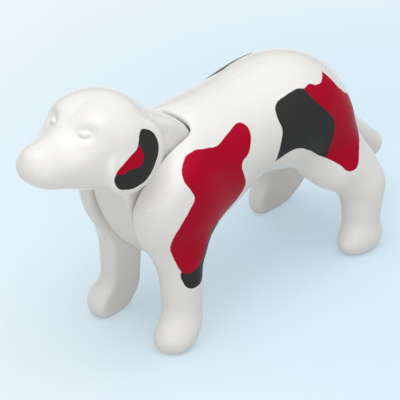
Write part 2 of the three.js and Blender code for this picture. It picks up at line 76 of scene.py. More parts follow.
# %% Camera
VIEW_TARGET = Vector((-0.42, -3.13, 14.41)) * MM
VIEW_TURN = math.radians(42.86)
VIEW_RISE = math.radians(30.55)
VIEW_DISTANCE = 250 * MM
FOCAL_PIXELS = 1886
IMAGE_PIXELS = 400
SENSOR_WIDTH = 36
NEAR_CLIP = 10 * MM

scene = bpy.context.scene
scene.view_settings.view_transform = "Standard"
view_back = Vector((
    math.sin(VIEW_TURN) * math.cos(VIEW_RISE),
    -math.cos(VIEW_TURN) * math.cos(VIEW_RISE),
    math.sin(VIEW_RISE),
))
camera_data = bpy.data.cameras.new("photo_camera")
camera_data.sensor_width = SENSOR_WIDTH
camera_data.lens = FOCAL_PIXELS / IMAGE_PIXELS * SENSOR_WIDTH
camera_data.clip_start = NEAR_CLIP
camera = bpy.data.objects.new("photo_camera", camera_data)
scene.collection.objects.link(camera)
camera.location = VIEW_TARGET + view_back * VIEW_DISTANCE
camera.rotation_euler = view_back.to_track_quat("Z", "Y").to_euler()
scene.camera = camera
print("camera lens", round(camera_data.lens, 1), "mm at", [round(v / MM) for v in camera.location], "mm")

# %% [markdown]
# ## Soft forms from distance fields
# A moulded animal has no flat faces or hard edges to extrude: one swelling runs into the next. It could
# be sculpted, but a distance field keeps every size as a number that can be set against the photograph.
# Each muscle is an ellipsoid or a tapering limb, written as a function that is negative inside and
# positive outside, and a soft minimum melts two of them together with a fillet.

# %% Fields for soft forms
TINY = 1e-9


def ellipsoid(points, form):
    """About the distance to an ellipsoid, tipped about X by its tilt in degrees."""
    offset = points - np.array(form["at"])
    turn = math.radians(form.get("tilt", 0))
    along = math.cos(turn) * offset[..., 1] + math.sin(turn) * offset[..., 2]
    up = -math.sin(turn) * offset[..., 1] + math.cos(turn) * offset[..., 2]
    local = np.stack([offset[..., 0], along, up], -1)
    half = np.array(form["half"])
    scaled = np.linalg.norm(local / half, axis=-1)
    slope = np.linalg.norm(local / half**2, axis=-1)
    return scaled * (scaled - 1) / (slope + TINY)


def limb(points, start, end):
    """Distance to a round limb between two balls, which may differ in radius."""
    axis = np.array(end["at"], float) - np.array(start["at"], float)
    offset = points - np.array(start["at"])
    length_sq = axis @ axis
    taper = start["radius"] - end["radius"]
    cone = length_sq - taper * taper
    along = offset @ axis
    past = along - length_sq
    side_sq = ((offset * length_sq - along[..., None] * axis) ** 2).sum(-1)
    limit = np.sign(taper) * taper * taper * side_sq
    at_end = np.sign(past) * cone * past * past * length_sq > limit
    at_start = np.sign(along) * cone * along * along * length_sq < limit
    on_side = (np.sqrt(side_sq * cone / length_sq) + along * taper) / length_sq - start["radius"]
    on_end = np.sqrt(side_sq + past * past * length_sq) / length_sq - end["radius"]
    on_start = np.sqrt(side_sq + along * along * length_sq) / length_sq - start["radius"]
    return np.where(at_end, on_end, np.where(at_start, on_start, on_side))


def blend(a, b, fillet):
    """Union of two forms with a soft fillet where they meet."""
    overlap = np.maximum(fillet - np.abs(a - b), 0) / fillet
    return np.minimum(a, b) - overlap * overlap * fillet / 4


def trim(a, b, fillet):
    """The part of one form inside another, with a rounded rim."""
    return -blend(-a, -b, fillet)


def over_slope(points, place, angle):
    """Height above a plane through a place in Y and Z that climbs towards the tail."""
    turn = math.radians(angle)
    return (points[..., 2] - place[1]) * math.cos(turn) - (points[..., 1] - place[0]) * math.sin(turn)


def both_sides(points):
    """The same points folded onto the dog's left side, so that one limb gives a pair."""
    return np.stack([np.abs(points[..., 0]), points[..., 1], points[..., 2]], -1)


print("field helpers ready")

# %% [markdown]
# ## Down to the surface
# A field rises straight out of the form, so its slope shows the shortest way to the surface. A point near
# the surface is moved down the slope until the field is zero there. Blender's Shrinkwrap modifier does the
# same with a second mesh as its target. The field needs no such mesh, and a few steps are exact enough.

# %% Slope and settling
SETTLE_STEPS = 4
SLOPE_STEP = 0.01


def slope_of(field, points):
    """Value and gradient of a field."""
    value = field(points)
    steps = np.eye(3) * SLOPE_STEP
    return value, np.stack([(field(points + step) - value) / SLOPE_STEP for step in steps], -1)


def settle(field, points, free=(1, 1, 1)):
    """Move points downhill onto the surface, along the axes that are free."""
    for _ in range(SETTLE_STEPS):
        height, slope = slope_of(field, points)
        slope = slope * free
        points = points - slope * (height / ((slope**2).sum(-1) + TINY))[:, None]
    return points


print("points settle onto a field in", SETTLE_STEPS, "steps")

# %% [markdown]
# ## From a field to a mesh
# Blender draws faces, so the field needs a skin. Metaballs would give one, but without control of the
# fillets. Here a grid of cells is laid through the field, and each cell that the surface crosses gets one
# vertex, at the mean of the points where its edges are cut. Four cells round a cut edge share a quad.
# This is the surface nets method. At the end each vertex settles onto the surface, which keeps the
# highlights clean.

# %% Skin of a field
GRID_SLABS = 8


def quads_round(edges, outside, number, u, v):
    """One quad round each cut edge, with its front to the outside."""
    ring = []
    for du, dv in ((0, 0), (1, 0), (1, 1), (0, 1)):
        cells = edges.copy()
        cells[:, u] -= du
        cells[:, v] -= dv
        ring.append(number[tuple(cells.T)])
    ring = np.stack(ring, -1)
    ring[outside] = ring[outside, ::-1]
    return ring


def skin(field, low, high, cell):
    """Vertices in millimetres and quads of the surface where the field is zero."""
    axes = [np.arange(lo, hi + cell, cell) for lo, hi in zip(low, high)]
    grid = np.stack(np.meshgrid(*axes, indexing="ij"), -1)
    value = np.concatenate([field(slab) for slab in np.array_split(grid, GRID_SLABS)])
    count = np.array(value.shape)
    total = np.zeros((*(count - 1), 3))
    cuts = np.zeros(count - 1)
    crossings = []
    for axis in range(3):
        u, v = (axis + 1) % 3, (axis + 2) % 3
        first = np.take(value, range(count[axis] - 1), axis)
        second = np.take(value, range(1, count[axis]), axis)
        crossed = (first < 0) != (second < 0)
        share = np.where(crossed, first / np.where(crossed, first - second, 1), 0)
        place = np.take(grid, range(count[axis] - 1), axis) + share[..., None] * np.eye(3)[axis] * cell
        place[~crossed] = 0
        for du in (0, 1):
            for dv in (0, 1):
                part = [slice(None)] * 3
                part[u] = slice(du, count[u] - 1 + du)
                part[v] = slice(dv, count[v] - 1 + dv)
                total += place[tuple(part)]
                cuts += crossed[tuple(part)]
        crossings.append((np.argwhere(crossed), first[crossed] >= 0, u, v))
    used = cuts > 0
    number = np.full(used.shape, -1)
    number[used] = np.arange(used.sum())
    quads = [quads_round(edges, outside, number, u, v) for edges, outside, u, v in crossings]
    return settle(field, total[used] / cuts[used][:, None]), np.concatenate(quads)


print("skin helper ready, grids read in", GRID_SLABS, "slabs")

# %% [markdown]
# ## Shading from the field
# A skin of small quads can still shade unevenly where two forms meet. The field knows its own slope, so
# each vertex takes that as its normal, and the highlights run as smoothly as the field does. Only the
# flat parting faces keep the normals of their own quads.

# %% Mesh objects and normals
FLAT = 0.999
PARTING = 0.01


def rows(items, name):
    """A property of vertices or faces with three numbers, as one row each."""
    values = np.empty(len(items) * 3)
    items.foreach_get(name, values)
    return values.reshape(-1, 3)


def on_parting(mesh):
    """Which faces lie flat on the parting plane."""
    flat = np.abs(rows(mesh.polygons, "normal")[:, 0]) > FLAT
    return flat & (np.abs(rows(mesh.polygons, "center")[:, 0]) / MM < 2 * PARTING)


def set_normals(piece, form):
    """Shade a skin by the slope of its field, and flat parting faces by their own normals."""
    mesh = piece.data
    _, slope = slope_of(form, rows(mesh.vertices, "co") / MM)
    slope = slope / np.linalg.norm(slope, axis=-1)[:, None]
    corner = np.empty(len(mesh.loops), int)
    mesh.loops.foreach_get("vertex_index", corner)
    normals = slope[corner]
    for number in np.flatnonzero(on_parting(mesh)):
        face = mesh.polygons[int(number)]
        normals[face.loop_start:face.loop_start + face.loop_total] = face.normal
    mesh.normals_split_custom_set(normals.tolist())


def mesh_object(name, points, faces):
    """A smooth-shaded mesh object in metres from points in millimetres."""
    mesh = bpy.data.meshes.new(name)
    mesh.from_pydata((points * MM).tolist(), [], faces.tolist())
    mesh.update()
    mesh.shade_smooth()
    piece = bpy.data.objects.new(name, mesh)
    scene.collection.objects.link(piece)
    return piece


print("mesh helpers ready, parting faces", 2 * PARTING, "mm apart")

# %% [markdown]
# ## Body
# The trunk is three masses in a row, with shoulders, haunches and thighs beside them, four round legs,
# blunt paws, heels behind the hind feet and a docked tail. Each mass is one ellipsoid or limb, and a wide
# fillet hides the joins. The tops of the shoulders slope down towards the chest to leave room for the
# head.

# %% Body forms
chest = {"at": (0, -8.9, 20.9), "half": (8.0, 11.6, 8.7)}
barrel = {"at": (0, 4.8, 23.4), "half": (7.8, 13.5, 6.75)}
hips = {"at": (0, 13.5, 21.9), "half": (8.1, 9.2, 7.4), "tilt": -16}
haunch = {"at": (5.1, 16.4, 18.3), "half": (2.8, 3.6, 4.0)}
shoulder = {"at": (4.5, -13.8, 20.6), "half": (4.3, 5.7, 7.9), "tilt": 10}
fore_leg = {"at": (5.3, -13.2, 13.0), "radius": 3.0}
fore_ankle = {"at": (5.5, -13.0, 4.0), "radius": 2.7}
fore_paw = {"at": (6.1, -14.9, 1.9), "half": (2.75, 3.1, 2.6)}
thigh = {"at": (6.1, 18.0, 13.9), "half": (4.2, 5.1, 3.5)}
hind_leg = {"at": (8.0, 20.8, 10.2), "radius": 3.4}
hind_ankle = {"at": (8.1, 20.6, 3.5), "radius": 2.6}
hind_paw = {"at": (8.3, 20.6, 1.8), "half": (2.45, 4.0, 2.6)}
heel = {"at": (5.2, 24.6, 3.6), "radius": 3.0}
hock = {"at": (5.2, 24.5, 5.3), "radius": 3.0}
tail_root = {"at": (0, 22.7, 17.4), "radius": 2.3}
tail_tip = {"at": (0, 32.3, 9.1), "radius": 2.1}
TRUNK_BLEND, SHOULDER_BLEND, THIGH_BLEND = 5, 4, 4
LEG_BLEND, PAW_BLEND, HEEL_BLEND, TAIL_BLEND = 3, 2, 2, 1.6
SLOPE_PLACE, SLOPE_ANGLE, SLOPE_ROUND = (-14.4, 27.25), 31, 2.4


def body_form(points):
    """Trunk, legs and tail as one soft form."""
    p = both_sides(points)
    form = blend(ellipsoid(p, chest), ellipsoid(p, barrel), TRUNK_BLEND)
    form = blend(form, ellipsoid(p, hips), TRUNK_BLEND)
    form = blend(form, ellipsoid(p, haunch), THIGH_BLEND)
    form = blend(form, ellipsoid(p, shoulder), SHOULDER_BLEND)
    form = trim(form, over_slope(p, SLOPE_PLACE, SLOPE_ANGLE), SLOPE_ROUND)
    form = blend(form, limb(p, fore_leg, fore_ankle), LEG_BLEND)
    form = blend(form, ellipsoid(p, fore_paw), PAW_BLEND)
    form = blend(form, ellipsoid(p, thigh), THIGH_BLEND)
    form = blend(form, limb(p, hind_leg, hind_ankle), LEG_BLEND)
    form = blend(form, ellipsoid(p, hind_paw), PAW_BLEND)
    form = blend(form, limb(p, heel, hock), HEEL_BLEND)
    return blend(form, limb(p, tail_root, tail_tip), TAIL_BLEND)


print("body form is", round(float(-body_form(np.array(chest["at"]))), 1), "mm deep in the chest")

# %% [markdown]
# ## Neck and tongue
# Below the head a flat tongue and a square neck reach down between the shoulders, and a round hub at the
# tongue's back turns on the cross pin. Loose boxes and cylinders would have to be moved one by one. Here
# all is measured from the pin, along and across the leaning neck, and follows the pin wherever it is.

# %% Neck and tongue
HUB_RADIUS = 3.4
TONGUE_HALF = 3.45
TONGUE_ROUND = 0.9
NECK_LEAN, NECK_LENGTH, KEEL_LEAN = 34, 11.4, -38
NECK_CORNER = 2.0
NECK_BACK = 2.8
NECK_TOP_BACK, NECK_TOP_RISE, NECK_TOP_FALL, NECK_TOP_ROUND = 2.4, 0.9, 18, 1.8
BREAST_BACK, BREAST_RISE, BREAST_RADIUS = 6.8, 6.3, 21.0


def neck_axes(points, lean):
    """How far points lie behind a leaning line through the pin, and how far up along it."""
    turn = math.radians(lean)
    y, z = points[..., 1] - pivot[1], points[..., 2] - pivot[2]
    return y * math.cos(turn) + z * math.sin(turn), z * math.cos(turn) - y * math.sin(turn)


def round_pin(points, radius):
    """Distance to a cylinder round the pin."""
    return np.hypot(points[..., 1] - pivot[1], points[..., 2] - pivot[2]) - radius


def tongue_form(points):
    """The flat slab under the throat, with a round hub, a straight keel and a curved breast line."""
    behind, up = neck_axes(points, NECK_LEAN)
    keel, _ = neck_axes(points, KEEL_LEAN)
    breast = np.hypot(
        points[..., 1] - pivot[1] - BREAST_BACK, points[..., 2] - pivot[2] - BREAST_RISE
    ) - BREAST_RADIUS
    front = np.maximum(np.where(points[..., 2] > pivot[2], behind, keel - HUB_RADIUS), up - NECK_LENGTH)
    outline = np.minimum(np.maximum(front, breast), round_pin(points, HUB_RADIUS))
    return trim(outline, np.abs(points[..., 0]) - TONGUE_HALF, TONGUE_ROUND)


def neck_form(points):
    """The square neck above the hub, with a plate on top that falls towards the tail."""
    behind, up = neck_axes(points, NECK_LEAN)
    section = trim(np.abs(points[..., 0]) - TONGUE_HALF, np.abs(behind) - NECK_BACK, NECK_CORNER)
    turn = math.radians(NECK_LEAN)
    top_y = pivot[1] - NECK_LENGTH * math.sin(turn) + NECK_TOP_BACK
    top_z = pivot[2] + NECK_LENGTH * math.cos(turn) + NECK_TOP_RISE
    top = over_slope(points, (top_y, top_z), -NECK_TOP_FALL)
    return np.maximum(trim(section, top, NECK_TOP_ROUND), -up)


print("tongue is", 2 * TONGUE_HALF, "mm wide, with a hub of", 2 * HUB_RADIUS, "mm")

# %% [markdown]
# ## Slot
# The slot in the body follows the tongue with a running clearance, through the whole nod, and leaves a
# little room behind the neck. A Boolean with a copy of the tongue would leave no clearance. Here the slot
# takes its sizes from the tongue and from the joint, so that the two can't drift apart.

# %% Slot
CLEARANCE = 0.3
KEEL_FOOT = 10.4
BORE_BACK, BORE_CORNER = -0.5, 3.0
nod_down = nod["range_deg"][1]
slot_half = TONGUE_HALF + CLEARANCE
keel_turn = math.radians(KEEL_LEAN + nod_down)
keel_reach = HUB_RADIUS + CLEARANCE - (KEEL_FOOT - pivot[2]) * math.sin(keel_turn)
keel_foot = pivot[1] + keel_reach / math.cos(keel_turn)


def slot_form(points):
    """The flat slot between the shoulders for the tongue."""
    behind, _ = neck_axes(points, NECK_LEAN)
    keel, _ = neck_axes(points, KEEL_LEAN + nod_down)
    below = np.where(points[..., 2] > KEEL_FOOT, keel - HUB_RADIUS - CLEARANCE, points[..., 1] - keel_foot)
    back = np.where(points[..., 2] > pivot[2], behind, below)
    back = np.minimum(back, round_pin(points, HUB_RADIUS + CLEARANCE))
    return np.maximum(np.abs(points[..., 0]) - slot_half, back)


def bore_form(points):
    """The room behind the square neck, with round corners."""
    behind, up = neck_axes(points, NECK_LEAN)
    section = trim(np.abs(points[..., 0]) - slot_half, behind - slot_half - BORE_BACK, BORE_CORNER)
    return np.maximum(section, -up)


print("slot is", round(2 * slot_half, 2), "mm wide, and reaches y", round(keel_foot, 2), "mm at its foot")

# %% [markdown]
# ## Soles, slot and leg gaps
# The dog stands on flat soles, and the inner faces of its legs are flat and lean apart a little towards
# the ground. Boolean cuts would leave these faces with sharp rims. Here they are cut into the field, so
# their rims come out softly rounded, as from a polished mould.

# %% Cuts in the body
RIM_ROUND = 0.5
BORE_ROUND = 0.8
SOLE_ROUND = 0.5
ARCH_HALF_WIDTH, ARCH_SPRING, ARCH_RISE = 6.2, 11, 2.4
ARCH_FRONT, ARCH_BACK = 6.6, 24.6
HEEL_GAP_TOP, HEEL_GAP_BACK = 8.6, 28.5
LEG_DRAFT, DRAFT_TOP = 0.085, 11


def leg_draft(points):
    """How much the flat inner faces of the legs lean apart towards the ground."""
    return LEG_DRAFT * np.maximum(DRAFT_TOP - points[..., 2], 0)


def arch_form(points):
    """The gap between the flat inner faces of the hind legs, under a low arch."""
    over = np.maximum(points[..., 2] - ARCH_SPRING, 0) / ARCH_RISE
    across = (np.hypot(points[..., 0] / ARCH_HALF_WIDTH, over) - 1) * ARCH_RISE
    straight = np.abs(points[..., 0]) - ARCH_HALF_WIDTH - leg_draft(points)
    wall = np.where(points[..., 2] > ARCH_SPRING, across, straight)
    arch = np.maximum(wall, np.maximum(ARCH_FRONT - points[..., 1], points[..., 1] - ARCH_BACK))
    behind = np.maximum(thigh["at"][1] - points[..., 1], points[..., 1] - HEEL_GAP_BACK)
    return np.minimum(arch, np.maximum(straight, np.maximum(behind, points[..., 2] - HEEL_GAP_TOP)))


def shell_form(points):
    """The body with its soles, slot and leg gaps, before it is parted."""
    form = trim(body_form(points), -points[..., 2], SOLE_ROUND)
    form = trim(form, -bore_form(points), BORE_ROUND)
    fore_wall = np.abs(points[..., 0]) - slot_half - leg_draft(points)
    fore_gap = np.maximum(fore_wall, points[..., 1] - keel_foot)
    fore_gap = np.maximum(fore_gap, points[..., 2] - DRAFT_TOP)
    form = trim(form, -np.minimum(slot_form(points), fore_gap), RIM_ROUND)
    return trim(form, -arch_form(points), RIM_ROUND)


print("gap between the hind legs is", 2 * ARCH_HALF_WIDTH, "mm wide under the arch")

# %% [markdown]
# ## The two body halves
# The halves meet on the dog's middle plane with a hairline gap. The parting plane has to stay crisp: it is
# cut without a fillet, and the vertices beside its edge are put exactly on it. The right half is the left
# one mirrored, with its own print.

# %% Body halves
EDGE_REACH = 0.7
BODY_CELL = 0.27
BODY_LOW = (PARTING - BODY_CELL * 1.5, -22, -0.6)
BODY_HIGH = (12.5, 36, 32)


def left_form(points):
    """The body on the left of the parting plane."""
    return np.maximum(shell_form(points), PARTING - points[..., 0])


def crisp_parting(points):
    """Put the vertices of cells that hold the parting edge exactly on it."""
    points = points.copy()
    edge = np.abs(points[:, 0] - PARTING) < EDGE_REACH * BODY_CELL
    edge[edge] = np.abs(shell_form(points[edge])) < EDGE_REACH * BODY_CELL
    place = points[edge]
    place[:, 0] = PARTING
    points[edge] = settle(shell_form, place, free=(0, 1, 1))
    return points


half_points, half_faces = skin(left_form, BODY_LOW, BODY_HIGH, BODY_CELL)
left_half = mesh_object("left_half", crisp_parting(half_points), half_faces)
right_half = bpy.data.objects.new("right_half", left_half.data.copy())
scene.collection.objects.link(right_half)
right_half.data.transform(Matrix.Scale(-1, 4, (1, 0, 0)))
right_half.data.flip_normals()
for half in (left_half, right_half):
    set_normals(half, shell_form)
print("each half has", len(left_half.data.vertices), "vertices and", len(left_half.data.polygons), "faces")

# %% [markdown]
# ## Head
# The head has a round skull with a crown, a tapering muzzle with jowls and soft flews, and brows over the
# eyes. They are ellipsoids and limbs again, as on the body, mostly with smaller fillets, because a face is
# read from small changes of slope.

# %% Head forms
skull = {"at": (0, -21.25, 31.45), "half": (6.3, 6.1, 5.5)}
muzzle = {"at": (0, -25.37, 30.75), "radius": 4.0}
nose = {"at": (0, -31.47, 31.85), "radius": 2.45}
jowl = {"at": (2.8, -23.87, 30.25), "radius": 2.5}
flew = {"at": (1.2, -30.77, 30.95), "radius": 1.8}
crown = {"at": (0, -21.4, 32.65), "half": (6.3, 4.3, 4.2)}
brow = {"at": (2.4, -24.3, 34.6), "half": (1.3, 1.5, 1.2)}
MUZZLE_BLEND, CROWN_BLEND, JOWL_BLEND = 3.5, 2, 2
BROW_BLEND, NECK_BLEND, TONGUE_BLEND = 3, 1.5, 0.6
print("muzzle tapers from", 2 * muzzle["radius"], "to", 2 * nose["radius"], "mm")

# %% [markdown]
# ## Jaw
# The sides of the jaw are upright and meet a sloping roof at an edge that catches the light. An ellipsoid
# has no edges, so the jaw is a wedge: a limb without height gives its plan, the roof climbs inwards from
# that, and planes give the ridge and the foot. Small fillets keep the edges readable, where a wide one
# would wash them out.

# %% Jaw
cheek_back = {"at": (0, -21.0, 0), "radius": 6.15}
cheek_front = {"at": (0, -30.5, 0), "radius": 3.2}
CHEEK_END_Y, CHEEK_TOP, CHEEK_TOP_LOW, CHEEK_TOP_FALL = -23.4, 33.8, 31.9, 0.31
ROOF_SLOPE, RIDGE, RIDGE_FALL = 0.75, 36.3, 0.27
CHEEK_FOOT, CHEEK_FOOT_RISE = 27.65, 0.25
WALL_ROUND, RIDGE_ROUND, FOOT_ROUND, CHEEK_BLEND = 0.7, 2.0, 1.6, 1.0


def cheek_form(p):
    """The jaw as a wedge with upright sides, round at the nose in plan, under a sloping roof."""
    ahead = CHEEK_END_Y - p[..., 1]
    side = limb(p * (1, 1, 0), cheek_back, cheek_front)
    wall_top = np.maximum(CHEEK_TOP - CHEEK_TOP_FALL * ahead, CHEEK_TOP_LOW)
    roof = (p[..., 2] - wall_top + ROOF_SLOPE * side) / math.hypot(1, ROOF_SLOPE)
    top = trim(roof, p[..., 2] - (RIDGE - RIDGE_FALL * ahead), RIDGE_ROUND)
    foot = CHEEK_FOOT + CHEEK_FOOT_RISE * ahead - p[..., 2]
    form = trim(trim(side, top, WALL_ROUND), foot, FOOT_ROUND)
    return trim(form, -ahead, WALL_ROUND)


print("jaw is", 2 * cheek_front["radius"], "mm wide at the nose")

# %% [markdown]
# ## Ears
# Each hanging ear is a thin flap, proud of the cheek along its front edge and running into the skull at
# its top. A bent plane with a Solidify modifier would give a flap too, but it wouldn't melt into the
# skull. So the ear is a field as well: an oval in the side view, with a thickness about a bent middle
# surface.

# %% Ears
EAR_Y, EAR_Z, EAR_LEAN, EAR_HALF_LENGTH, EAR_HALF_WIDTH = -21.6, 30.9, 45, 4.9, 3.6
EAR_X, EAR_TUCK, EAR_BEND, EAR_SWEEP = 6.4, 0.22, 2.0, 0.14
EAR_RIM, EAR_CROWN, EAR_ROUND, EAR_BLEND = 0.8, 0.45, 0.6, 0.35


def ear_form(p):
    """An oval flap, thicker at its middle, that flares outwards to its foot and its back."""
    turn = math.radians(EAR_LEAN)
    y, z = p[..., 1] - EAR_Y, p[..., 2] - EAR_Z
    along = (math.cos(turn) * y + math.sin(turn) * z) / EAR_HALF_LENGTH
    across = (math.cos(turn) * z - math.sin(turn) * y) / EAR_HALF_WIDTH
    oval = np.hypot(along, across)
    outline = (oval - 1) * EAR_HALF_WIDTH
    middle = EAR_X - EAR_TUCK * (z + np.hypot(z, EAR_BEND)) + EAR_SWEEP * y
    thickness = EAR_RIM + EAR_CROWN * np.clip(1 - oval * oval, 0, 1)
    return trim(outline, np.abs(p[..., 0] - middle) - thickness, EAR_ROUND)


print("ears are", 2 * EAR_HALF_LENGTH, "by", 2 * EAR_HALF_WIDTH, "mm")

# %% [markdown]
# ## Eyes
# The eyes are relief in the white of the plastic: low almonds under a lid, each in a soft hollow under
# the brow. A bump map would vanish on the rim of the face, so they are part of the form. A small frame of
# three directions at the eye lets its parts be measured along the lids, up towards the brow and straight
# out of the face.

# %% Eyes
def unit(vector):
    """A vector in the same direction, 1 long."""
    return np.array(vector) / np.linalg.norm(vector)


EYE_AT = np.array((2.95, -26.95, 34.95))
TO_BROW = (-0.25, 0.35, 1.0)
EYE_OUT = unit((0.48, -0.71, 0.52))
EYE_ALONG = unit(np.cross(TO_BROW, EYE_OUT))
EYE_UP = np.cross(EYE_OUT, EYE_ALONG)
socket = {"at": (0.1, 0.25, 0.8), "half": (1.6, 0.95, 1.4)}
eyeball = {"at": (0, 0, -0.62), "half": (0.72, 0.36, 0.46)}
lid = {"at": (0, 0.1, -0.66), "half": (0.86, 0.42, 0.44)}
SOCKET_ROUND, EYE_BLEND, LID_EDGE, LID_ARCH = 1.0, 0.15, 0.2, 0.35


def with_eyes(form, p):
    """The head with hollows, eyeballs and upper lids."""
    offset = p - EYE_AT
    local = np.stack([offset @ EYE_ALONG, offset @ EYE_UP, offset @ EYE_OUT], -1)
    form = trim(form, -ellipsoid(local, socket), SOCKET_ROUND)
    form = blend(form, ellipsoid(local, eyeball), EYE_BLEND)
    lid_edge = LID_EDGE - LID_ARCH * local[..., 0] ** 2 - local[..., 1]
    return blend(form, np.maximum(ellipsoid(local, lid), lid_edge), EYE_BLEND)


print("eyes", 2 * EYE_AT[0], "mm apart")

# %% [markdown]
# ## The whole head
# All these forms, the neck and the tongue are blended into one field, so the head is one piece, as it
# leaves the mould. Its grid is finer than the body's, because the lids are less than a millimetre high.

# %% Head
HEAD_CELL = 0.17
HEAD_LOW, HEAD_HIGH = (-8, -36, 8), (8, -1, 39)


def head_form(points):
    """Head, ears, neck and tongue as one form."""
    p = both_sides(points)
    form = blend(ellipsoid(p, skull), limb(p, muzzle, nose), MUZZLE_BLEND)
    form = blend(form, ellipsoid(p, crown), CROWN_BLEND)
    form = blend(form, limb(p, jowl, flew), JOWL_BLEND)
    form = blend(form, cheek_form(p), CHEEK_BLEND)
    form = blend(form, ellipsoid(p, brow), BROW_BLEND)
    form = with_eyes(form, p)
    form = blend(form, neck_form(p), NECK_BLEND)
    form = blend(form, ear_form(p), EAR_BLEND)
    return blend(form, tongue_form(points), TONGUE_BLEND)


head = mesh_object("head_and_neck", *skin(head_form, HEAD_LOW, HEAD_HIGH, HEAD_CELL))
set_normals(head, head_form)
print("head has", len(head.data.vertices), "vertices")

# %% [markdown]
# ## Coat patches
# The coat is printed on the white plastic in red and black. A printer wraps flat artwork over the side of
# the toy, so each patch is drawn as one closed outline in the side view, in millimetres along the frame's
# Y and Z. A smooth curve runs through the points, and a doubled point makes a sharp corner. The sides
# differ, as the coat of a real dog does, and both ears share their patches.

# %% Outlines of the patches
LEFT_SHOULDER_RED = (
    (-2.3, 27.9), (-1.3, 26.8), (-2.5, 24.5), (-4.2, 23.2), (-3.2, 19.6), (-5.6, 17.3), (-9.8, 17.0),
    (-11.3, 14.6), (-12.6, 12.8), (-14.0, 11.9), (-15.3, 12.3), (-16.35, 14.8), (-17.05, 16.8),
    (-16.85, 19.0), (-15.2, 21.8), (-14.2, 23.0), (-14.5, 24.3), (-14.95, 25.4), (-14.7, 26.2),
    (-14.2, 26.7), (-13.55, 27.1), (-12.7, 27.5), (-11.8, 27.65), (-10.8, 27.65), (-9.1, 27.2),
    (-7.0, 26.8), (-4.8, 27.4),
)
LEFT_SHOULDER_BLACK = (
    (-8.6, 17.8), (-9.6, 13.5), (-11.3, 10.2), (-12.6, 9.4), (-14.2, 9.5), (-15.0, 10.6), (-15.2, 12.6),
    (-13.0, 14.5), (-10.0, 17.6),
)
LEFT_HIP_BLACK = (
    (9.5, 28.5), (7.9, 28.6), (4.7, 28.1), (3.75, 26.9), (3.9, 25.0), (3.3, 23.0), (3.0, 20.6), (3.0, 20.6),
    (6.0, 21.5), (8.4, 20.6), (12.4, 17.7), (13.8, 18.0), (14.4, 22.5), (13.0, 25.5), (10.8, 27.6),
)
LEFT_HIP_RED = (
    (9.8, 28.4), (9.8, 28.4), (11.2, 28.5), (12.2, 28.1), (13.5, 28.0), (15.15, 28.5), (15.15, 28.5),
    (15.9, 27.5), (16.6, 26.3), (18.0, 24.9), (20.4, 23.2), (20.9, 21.0), (19.6, 18.7), (18.0, 16.9),
    (16.9, 15.2), (15.4, 15.0), (14.3, 16.2), (12.6, 17.6), (12.6, 17.6), (12.9, 19.3), (13.35, 21.3),
    (13.4, 23.2), (12.4, 24.7), (10.8, 26.5),
)
EAR_BLACK = (
    (-19.7, 34.1), (-20.4, 34.3), (-21.0, 34.0), (-21.4, 33.4), (-22.2, 32.1), (-23.6, 31.3), (-25.0, 30.5),
    (-25.5, 29.6), (-25.2, 28.5), (-24.4, 27.9), (-22.9, 27.6), (-20.8, 28.2), (-19.2, 30.4), (-18.6, 31.9),
    (-18.65, 32.9), (-19.05, 33.6),
)
EAR_RED = (
    (-21.5, 32.9), (-21.2, 32.1), (-21.2, 31.3), (-21.6, 30.5), (-22.3, 30.2), (-23.4, 30.3), (-24.2, 30.0),
    (-24.9, 30.1), (-25.2, 30.2), (-25.0, 30.6), (-23.6, 31.5), (-22.2, 32.3),
)
RIGHT_SADDLE_BLACK = (
    (4.4, 29.3), (7.0, 29.5), (9.4, 29.7), (11.4, 29.6), (12.4, 28.0), (10.6, 25.2), (10.9, 22.3),
    (8.4, 20.2), (5.2, 21.6), (4.4, 24.2), (1.8, 25.4), (2.4, 28.2),
)
RIGHT_SHOULDER_RED = (
    (-12.6, 25.6), (-9.4, 26.9), (-6.2, 25.6), (-5.4, 22.6), (-7.6, 20.4), (-8.2, 17.6), (-11.4, 16.2),
    (-14.2, 17.4), (-15.6, 20.6), (-14.2, 23.0),
)
RIGHT_HIP_RED = (
    (14.6, 24.8), (17.2, 24.2), (18.8, 21.2), (18.2, 18.2), (19.8, 14.6), (18.6, 12.0), (16.6, 13.2),
    (15.4, 16.8), (12.8, 19.4), (12.9, 22.8),
)
RIGHT_HIP_BLACK = (
    (12.9, 19.8), (15.6, 17.4), (17.2, 13.4), (16.0, 12.6), (13.6, 15.4), (11.2, 17.6), (11.6, 19.6),
)
PRINTS = ("red_print", "black_print")
NO_PATCHES = dict.fromkeys(PRINTS, ())
LEFT_PATCHES = {
    "red_print": (LEFT_SHOULDER_RED, LEFT_HIP_RED),
    "black_print": (LEFT_SHOULDER_BLACK, LEFT_HIP_BLACK),
}
RIGHT_PATCHES = {
    "red_print": (RIGHT_SHOULDER_RED, RIGHT_HIP_RED),
    "black_print": (RIGHT_SADDLE_BLACK, RIGHT_HIP_BLACK),
}
EAR_PATCHES = {"red_print": (EAR_RED,), "black_print": (EAR_BLACK,)}
for colour in PRINTS:
    drawn = [len(patches[colour]) for patches in (LEFT_PATCHES, RIGHT_PATCHES, EAR_PATCHES)]
    print(colour, "outlines on the left, the right and an ear:", drawn)

# %% [markdown]
# ## Distance to a patch
# Each patch is turned into a signed distance in the side view, below zero inside. A painted texture would
# need unwrapping and a great many pixels. From a stored distance the material can cut an edge far finer
# than the mesh. The smooth curve is walked in short straight steps, and the nearest step gives the
# distance. A point is inside where a line from it towards the tail crosses the outline an odd number of
# times.

# %% Distance to a patch
CURVE_STEPS = 6
PRINT_REACH = 1.5


